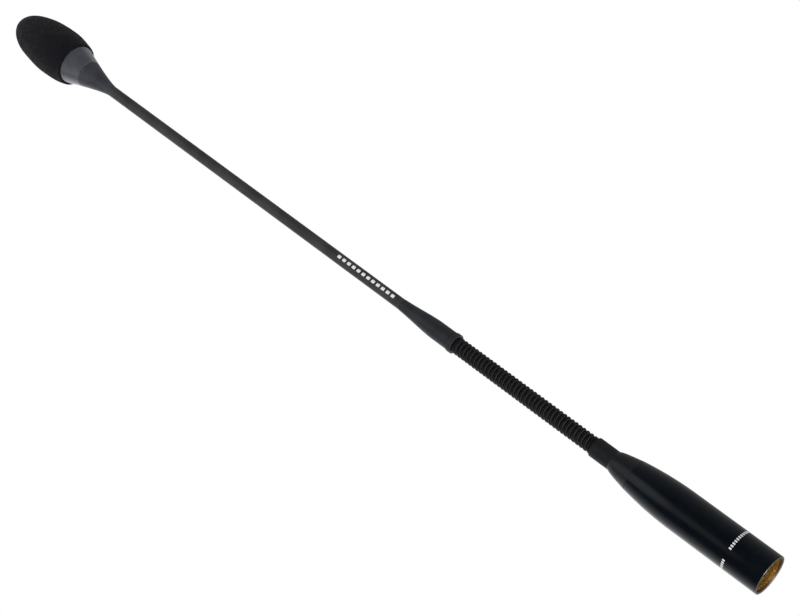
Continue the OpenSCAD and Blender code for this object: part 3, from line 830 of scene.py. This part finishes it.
def build_neck():
    """Wires and cable of the wound neck, one piece for each joint."""
    middles = [(a + b) / 2 for a, b in zip(HINGE_Z, HINGE_Z[1:])]
    cuts = [HELIX_START] + middles + [HELIX_END]
    last = len(NECK_JOINTS) - 1
    spring = round_section(2.45, 0.45)
    for i, joint in enumerate(NECK_JOINTS):
        low, high = cuts[i], cuts[i + 1]
        tapers = (i == 0, i == last)
        outer = helix_piece(f"neck_wire_{i + 1}", ridge_section(), low, high, 64, "coil_black", tapers)
        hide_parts(f"outer_coil_{i + 1}", f"outer_coil_{i + 2}")
        inner = helix_piece(f"neck_spring_{i + 1}", spring, low, high, 40, "spring_wire")
        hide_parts("inner_spring")
        cable_low = COIL_START + 0.05 if i == 0 else low
        cable_high = COIL_END - 0.05 if i == last else high
        cable = cable_piece(f"neck_cable_{i + 1}", cable_low, cable_high)
        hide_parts("gooseneck_cable")
        for piece in (outer, inner, cable):
            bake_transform(piece)
    build_end_turn("neck_end_low", COIL_START + END_TURN / 2, NECK_JOINTS[0]["parent"])
    build_end_turn("neck_end_high", COIL_END - END_TURN / 2, NECK_JOINTS[last]["child"])


# ---- stem and head

def build_cuff():
    """The cuff at the stem's foot: a rounded lip, a short straight part and a long taper."""
    lip_end = COIL_END + 2.5
    outline = [
        (STUD_BORE_R, COIL_END, 0), (CUFF_LIP_R, COIL_END, 0.35), (CUFF_LIP_R, lip_end, 0.45),
        (CUFF_R - 0.12, lip_end + 0.25, 0.15), (CUFF_R, lip_end + 0.6, 0.2), (CUFF_R, CUFF_TAPER_Z - 1, 0),
    ]
    outline += curve(cuff_outline, CUFF_TAPER_Z, CUFF_END_Z, 44)
    outline += [
        (STEM_R + 0.02, CUFF_END_Z + 0.05, 0), (STEM_R + 0.02, STEM_START, 0), (STUD_BORE_R, STEM_START, 0),
    ]
    lathe_for("stem_cuff", "cuff", outline, "stem", "cuff_black")


def build_stem():
    """The long thin tube."""
    bore_r = STEM_R - 0.5
    outline = [(bore_r, STEM_START, 0.05), (STEM_R, STEM_START, 0.1)]
    outline += [(STEM_R, z, 0) for z in np.linspace(STEM_START + 20, STEM_END - 20, 12)]
    outline += [(STEM_R, STEM_END, 0.1), (bore_r, STEM_END, 0.05)]
    lathe_for("stem_tube", "stem", outline, "stem", "stem_black", 128)


def build_cone():
    """The flared cone, from the stem to the seam of the light ring, with the adapter's bore inside."""
    outline = curve(trumpet, CONE_Z, RING_BACK_Z - 0.25, 48)
    outline = [(r + 0.02, z, f) for r, z, f in outline]
    edge = trumpet(RING_BACK_Z)
    seam = RING_BACK_Z - 0.05
    bore_r = 3.45
    bore_start = 428.0
    outline += [
        (edge - 0.05, seam, 0.12), (edge - 1.1, seam, 0.1), (bore_r, bore_start + 4, 0.3),
        (bore_r, bore_start, 0), (STEM_R + 0.02, bore_start - 0.4, 0), (STEM_R + 0.02, CONE_Z, 0),
    ]
    lathe_for("head_cone", "cone", outline, "stem", "head_black")


def build_light_ring():
    """The smoky ring between the cone and the foam, on the same flare as the cone."""
    seam = RING_BACK_Z + 0.03
    outline = [(trumpet(RING_BACK_Z) - 0.03, seam, 0.12)]
    outline += curve(trumpet, RING_BACK_Z + 0.3, RING_FRONT_Z - 0.3, 28)
    outline += [
        (RING_FRONT_R, RING_FRONT_Z, 0.25), (RING_BORE_R, RING_FRONT_Z, 0.1), (RING_BORE_R, seam, 0.1),
    ]
    lathe_for("light_ring", "smoked_ring", outline, "stem", "smoked_ring")


def build_housing():
    """The capsule housing, grooved and slotted, and the bezel that holds its grille."""
    bore_r = HOUSING_R - 0.7
    cable_hole_r = 1.35
    floor = HOUSING_START + 1
    groove = 449.4
    groove_r = HOUSING_R - 0.25
    outline = [
        (cable_hole_r, HOUSING_START, 0), (HOUSING_R, HOUSING_START, 0.3),
        (HOUSING_R, groove, 0.1), (groove_r, groove + 0.2, 0.1),
        (groove_r, groove + 0.9, 0.1), (HOUSING_R, groove + 1.1, 0.1),
        (HOUSING_R, HOUSING_END, 0.12), (bore_r, HOUSING_END, 0.05),
        (bore_r, floor, 0.2), (cable_hole_r, floor, 0),
    ]
    obj = lathe_for("capsule_housing", "capsule_housing_body", outline, "stem", "housing_black")
    slots = 6
    slot_w, slot_low, slot_high = 2.4, 453, 461
    cutters = [slot_cutter(FULL_TURN * k / slots, slot_w, slot_low, slot_high) for k in range(slots)]
    boolean_cut(obj, cutters)
    bezel_start = HOUSING_END + 0.02
    outline = [
        (BEZEL_BORE_R, bezel_start, 0), (HOUSING_R, bezel_start, 0.08), (HOUSING_R, BEZEL_END, 0.5),
        (BEZEL_BORE_R, BEZEL_END, 0.25),
    ]
    lathe_for("grille_ring", "grille_bezel", outline, "stem", "housing_black")


def slot_cutter(angle, width, z0, z1):
    """A rounded slot through the housing wall at an angle round the axis."""
    half = width / 2
    outline = []
    for a in np.linspace(-math.pi / 2, math.pi / 2, 9):
        outline.append((half * math.sin(a), z1 - half + half * math.cos(a)))
    for a in np.linspace(math.pi / 2, 3 * math.pi / 2, 9):
        outline.append((half * math.sin(a), z0 + half + half * math.cos(a)))
    inner_x, outer_x = 4.5, 8.0
    verts = [(inner_x, y, z) for y, z in outline] + [(outer_x, y, z) for y, z in outline]
    count = len(outline)
    faces = [[k, (k + 1) % count, count + (k + 1) % count, count + k] for k in range(count)]
    faces += [list(range(count)), list(range(2 * count - 1, count - 1, -1))]
    slot = make_object("cutter", verts, faces, MATERIALS["foam"])
    slot.data.transform(Matrix.Rotation(angle, 4, "Z"))
    return slot


# ---- windshield

def foam_outline():
    """Outer outline of the windshield from the bore's edge, over its foot and flank, to the tip."""
    foot = []
    for s in np.linspace(0, 1, 60):
        radius = FOAM_FOOT_R + (FOAM_R - FOAM_FOOT_R) * (1 - (1 - s) ** 2)
        foot.append((radius, FOAM_START + (FOAM_WIDE_Z - FOAM_START) * s))
    nose = []
    for t in np.linspace(0, math.pi / 2, 220)[1:]:
        s = math.sin(t)
        radius = FOAM_R * max(1 - s ** 2.34, 0) ** (1 / 2.24)
        nose.append((radius, FOAM_WIDE_Z + (FOAM_TIP_Z - FOAM_WIDE_Z) * s))
    rear = [(r, FOAM_START) for r in np.linspace(FOAM_BORE_R, FOAM_FOOT_R, 16)[:-1]]
    return np.array(rear + foot + nose)


def evenly(points, step):
    """Points resampled to an even spacing along their path."""
    lengths = np.concatenate([[0], np.cumsum(np.linalg.norm(np.diff(points, axis=0), axis=1))])
    count = int(lengths[-1] / step)
    at = np.linspace(0, lengths[-1], count + 1)
    return np.stack([np.interp(at, lengths, points[:, k]) for k in range(2)], axis=1)


def foam_depth(place):
    """How far the foam's skin stands out: soft dents, pits of open cells and a fine grain."""
    dents = noise.noise(place * 0.085) * 0.35
    to_cell = noise.voronoi(place * 1.35)[0][0]
    pit = -0.22 * max(0.0, 1 - to_cell / 0.42) ** 1.3
    grain = noise.noise(place * 2.6) * 0.07
    return min(dents, 0.1) + pit + grain - 0.08


def build_foam():
    """An egg of open-cell foam, with a bore that fits over the capsule housing."""
    step = 0.26
    around = 320
    outer = [tuple(p) for p in evenly(foam_outline(), step)]
    outer[-1] = (0.0, FOAM_TIP_Z)
    bore = [(0.0, FOAM_BORE_END), (FOAM_BORE_R * 0.5, FOAM_BORE_END), (FOAM_BORE_R - 0.3, FOAM_BORE_END)]
    bore += [(FOAM_BORE_R, z) for z in np.linspace(FOAM_BORE_END - 0.3, FOAM_START + 0.6, 24)]
    verts, faces = lathe_mesh(bore + outer, around)
    obj = make_object("windshield_foam", verts, faces, MATERIALS["foam"])
    mesh = obj.data
    normals = [v.normal.copy() for v in mesh.vertices]
    for v, out in zip(mesh.vertices, normals):
        x, y, z = (c / MM for c in v.co)
        r = math.hypot(x, y)
        if r < FOAM_BORE_R + 0.25 and z < FOAM_BORE_END + 0.3:
            continue
        fade = min(1.0, (r - FOAM_BORE_R) / 1.5) if z < FOAM_START + 1.0 else 1.0
        v.co = v.co + out * (foam_depth(Vector((x, y, z))) * fade * MM)
    mesh.update()
    finish_mesh(mesh)
    mesh.set_sharp_from_angle(angle=math.pi)  # the foam has no sharp edge
    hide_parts("foam_windshield")
    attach(obj, "windshield")


# ---- printed marks

def printed_mark(verts, faces, radius, z0, z1, angle, width):
    """Adds one thin printed bar on a turned surface to a mesh under construction."""
    thickness, rows, columns = 0.025, 5, 7
    base = len(verts)
    half = width / radius / 2
    for lift in (0.004, thickness):
        for i in range(rows):
            for j in range(columns):
                u, v = 2 * i / (rows - 1) - 1, 2 * j / (columns - 1) - 1
                soften = 1 - 0.10 * (u * u) * (v * v)
                z = (z0 + z1) / 2 + (z1 - z0) / 2 * u * soften
                a = angle + half * v * soften
                verts.append(((radius + lift) * math.cos(a), (radius + lift) * math.sin(a), z))
    layer = rows * columns
    for i in range(rows - 1):
        for j in range(columns - 1):
            k = base + i * columns + j
            faces.append([k, k + columns, k + columns + 1, k + 1])
            faces.append([layer + k, layer + k + 1, layer + k + columns + 1, layer + k + columns])
    border = [i * columns for i in range(rows)] + [(rows - 1) * columns + j for j in range(1, columns)]
    border += [i * columns + columns - 1 for i in range(rows - 2, -1, -1)] + list(range(columns - 2, 0, -1))
    for p, q in zip(border, border[1:] + border[:1]):
        faces.append([base + p, base + q, base + layer + q, base + layer + p])


def build_marks():
    """Generic bars in place of the printing: a row along the stem and a broken ring round the barrel."""
    bars = 12
    verts, faces = [], []
    for k in range(bars):
        z = STEM_PRINT_Z + STEM_PRINT_STEP * k
        printed_mark(verts, faces, STEM_R, z, z + 2.0, FACING + 0.25, 1.6)
    stem = make_object("stem_print", verts, faces, MATERIALS["print_ink"])
    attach(stem, "stem")
    groups = 3
    verts, faces = [], []
    for group in range(groups):
        for k in range(bars):
            angle = FACING + math.radians(-4 + 360 / groups * group + 7.6 * k)
            printed_mark(verts, faces, BARREL_R, BARREL_PRINT_Z, BARREL_PRINT_Z + 1.3, angle, 0.75)
    barrel = make_object("barrel_print", verts, faces, MATERIALS["print_ink"])
    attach(barrel, "connector")


# ---- stage, light and camera

CAMERA_RIM_DISTANCE = 730.2  # depth of the plug's rim in front of the camera
CAMERA_ALONG = 185.32  # how far the picture's centre is from the rim, along the microphone
CAMERA_ASIDE = 1.78  # and across it
CAMERA_TILT = math.radians(27.85)
CAMERA_ROLL = math.radians(53.55)
CAMERA_LENS = 81.0
CAMERA_SENSOR = 36.0

ROOM_LIGHT = 0.04  # darkest part of the studio, in mirror-like reflections
MATT_LIGHT = 0.75  # the even light on matt surfaces

FLOOR_GAP = 0.0006  # metres under the plug's rim
FLOOR_FADE_START = 0.5  # metres from the object
FLOOR_FADE_END = 2.6


def build_camera():
    """The photo's view: from the plug's end and a little below it, the stem running up to the left."""
    data = bpy.data.cameras.new("camera")
    camera = bpy.data.objects.new("camera", data)
    bpy.context.scene.collection.objects.link(camera)
    data.lens, data.sensor_width = CAMERA_LENS, CAMERA_SENSOR
    data.clip_start, data.clip_end = 0.01, 20
    forward = Vector((0, math.cos(CAMERA_TILT), math.sin(CAMERA_TILT)))
    axis_in_view = Vector((0, math.sin(CAMERA_TILT), -math.cos(CAMERA_TILT)))
    place = -forward * CAMERA_RIM_DISTANCE - axis_in_view * CAMERA_ALONG - Vector((CAMERA_ASIDE, 0, 0))
    camera.location = place * MM
    up = Vector((math.sin(CAMERA_ROLL), 0, 0)) - axis_in_view * math.cos(CAMERA_ROLL)
    right = forward.cross(up)
    rotation = Matrix((right, up, -forward)).transposed()
    camera.rotation_mode = "QUATERNION"
    camera.rotation_quaternion = rotation.to_quaternion()
    bpy.context.scene.camera = camera


def area_light(name, location, target, size, power):
    """A square area light, hidden from the camera, that points at a target; in metres and watts."""
    data = bpy.data.lights.new(name, "AREA")
    data.shape = "RECTANGLE"
    data.size, data.size_y = size, size
    data.energy = power
    light = bpy.data.objects.new(name, data)
    light.location = location
    light.rotation_mode = "QUATERNION"
    light.rotation_quaternion = (Vector(target) - Vector(location)).to_track_quat("-Z", "Y")
    light.visible_camera = False
    bpy.context.scene.collection.objects.link(light)
    return light


def build_world():
    """A soft studio that turns with the camera, so every side of the object is lit alike.

    The camera sees white, and matt surfaces see an even light. Mirror-like reflections see a dark room with
    a pale wall behind the object that is brighter on the left, a softbox to the left and a glow from where
    the plug points.
    """
    world = bpy.data.worlds.new("studio")
    bpy.context.scene.world = world
    world.use_nodes = True
    world.cycles.sampling_method = "NONE"
    tree = world.node_tree
    background = tree.nodes["Background"]

    def add(kind, *inputs, **settings):
        node = tree.nodes.new(kind)
        for key, value in settings.items():
            setattr(node, key, value)
        for key, value in enumerate(inputs):
            if isinstance(value, bpy.types.NodeSocket):
                tree.links.new(value, node.inputs[key])
            else:
                node.inputs[key].default_value = value
        return node

    def calc(operation, a, b=0.0):
        return add("ShaderNodeMath", a, b, operation=operation).outputs[0]

    def ramp(value, low, high, to_low, to_high):
        node = add("ShaderNodeMapRange", value, low, high, to_low, to_high, interpolation_type="SMOOTHSTEP")
        return node.outputs["Result"]

    direction = add("ShaderNodeTexCoord").outputs["Generated"]
    turned = add("ShaderNodeVectorTransform", direction, vector_type="VECTOR",
                 convert_from="WORLD", convert_to="CAMERA").outputs[0]

    def along(x, y, z):
        """Cosine between the ray and a direction given as right, up, away from the camera."""
        axis = Vector((x, y, z)).normalized()
        return add("ShaderNodeVectorMath", turned, tuple(axis), operation="DOT_PRODUCT").outputs["Value"]

    def soft_spot(x, y, z, edge_degrees, core_degrees, strength):
        """A round patch of light in a direction, fading from its core to its edge."""
        edge, core = (math.cos(math.radians(d)) for d in (edge_degrees, core_degrees))
        return ramp(along(x, y, z), edge, core, 0, strength)

    right_side = ramp(along(0.594, 0.804, 0), -0.35, 0.35, 0, 1)
    slope = ramp(right_side, 0, 1, 0.78, 0.14)
    wall = calc("ADD", calc("MULTIPLY", along(0, 0, 1), slope), 0.13)
    room = calc("MAXIMUM", wall, ROOM_LIGHT)
    softbox = soft_spot(-0.89, 0.31, -0.34, 31, 4, 0.36)
    glow = soft_spot(0.711, -0.525, -0.467, 75, 15, 1.6)
    mirror = calc("ADD", calc("ADD", room, softbox), glow)
    rays = add("ShaderNodeLightPath").outputs
    matt_light = calc("MULTIPLY", rays["Is Diffuse Ray"], MATT_LIGHT)
    other_light = calc("MULTIPLY", calc("SUBTRACT", 1.0, rays["Is Diffuse Ray"]), mirror)
    strength = calc("MAXIMUM", calc("ADD", matt_light, other_light), rays["Is Camera Ray"])
    background.inputs["Color"].default_value = rgb(1, 1, 1)
    tree.links.new(strength, background.inputs["Strength"])


def build_floor():
    """A plain pale floor under the plug's rim.

    It fades out with distance and vanishes for a camera that looks up from below it.
    """
    n = Nodes("floor")
    pale = n.mix(n.span(n.noise(0.002, 2), 0.4, 0.6, 0, 1), rgb(0.88, 0.88, 0.88), rgb(0.90, 0.90, 0.90))
    n.surface(Base_Color=pale, Roughness=0.9)
    clear = n.add("ShaderNodeBsdfTransparent")
    upward = n.add("ShaderNodeVectorTransform", {0: (0, 0, 1)}, vector_type="VECTOR",
                   convert_from="WORLD", convert_to="CAMERA")
    parts = n.add("ShaderNodeSeparateXYZ", {0: upward.outputs[0]})
    looking_up = n.math("GREATER_THAN", parts.outputs["Z"], 0.0)
    metres = n.add("ShaderNodeTexCoord").outputs["Object"]
    distance = n.add("ShaderNodeVectorMath", {0: metres}, operation="LENGTH").outputs["Value"]
    far = n.span(distance, FLOOR_FADE_START, FLOOR_FADE_END, 0, 1)
    mix = n.add("ShaderNodeMixShader")
    n.set(mix, 0, n.math("MAXIMUM", looking_up, far))
    n.set(mix, 1, n.shader.outputs[0])
    n.set(mix, 2, clear.outputs[0])
    n.tree.links.new(mix.outputs[0], n.output.inputs["Surface"])
    side = FLOOR_FADE_END + 0.4
    corners = [(-side, -side, 0), (side, -side, 0), (side, side, 0), (-side, side, 0)]
    mesh = bpy.data.meshes.new("floor")
    mesh.from_pydata(corners, [], [[0, 1, 2, 3]])
    floor = bpy.data.objects.new("floor", mesh)
    floor.location.z = CAD_LOW.z - FLOOR_GAP
    floor.data.materials.append(n.material)
    bpy.context.scene.collection.objects.link(floor)


def build_lights():
    """A large soft light from the upper left rounds the matt pieces, and a small one shines up the plug.

    The small one sits inside the barrel's own shadow, so that it lights nothing but the plug's mouth.
    """
    key = area_light("key", (-0.75, -0.55, 0.9), (0, 0, 0.25), 0.8, 7)
    key.visible_glossy = False
    area_light("mouth", (0, 0, -0.045), (0, 0, 0), 0.012, 0.02)


dress_cad_nodes()
build_barrel()
build_contact_sleeve()
build_insert()
build_pins()
build_nose_and_collar()
build_neck()
build_cuff()
build_stem()
build_cone()
build_light_ring()
build_housing()
build_foam()
build_marks()
build_world()
build_floor()
build_lights()
build_camera()
bpy.context.scene.view_settings.view_transform = "Standard"
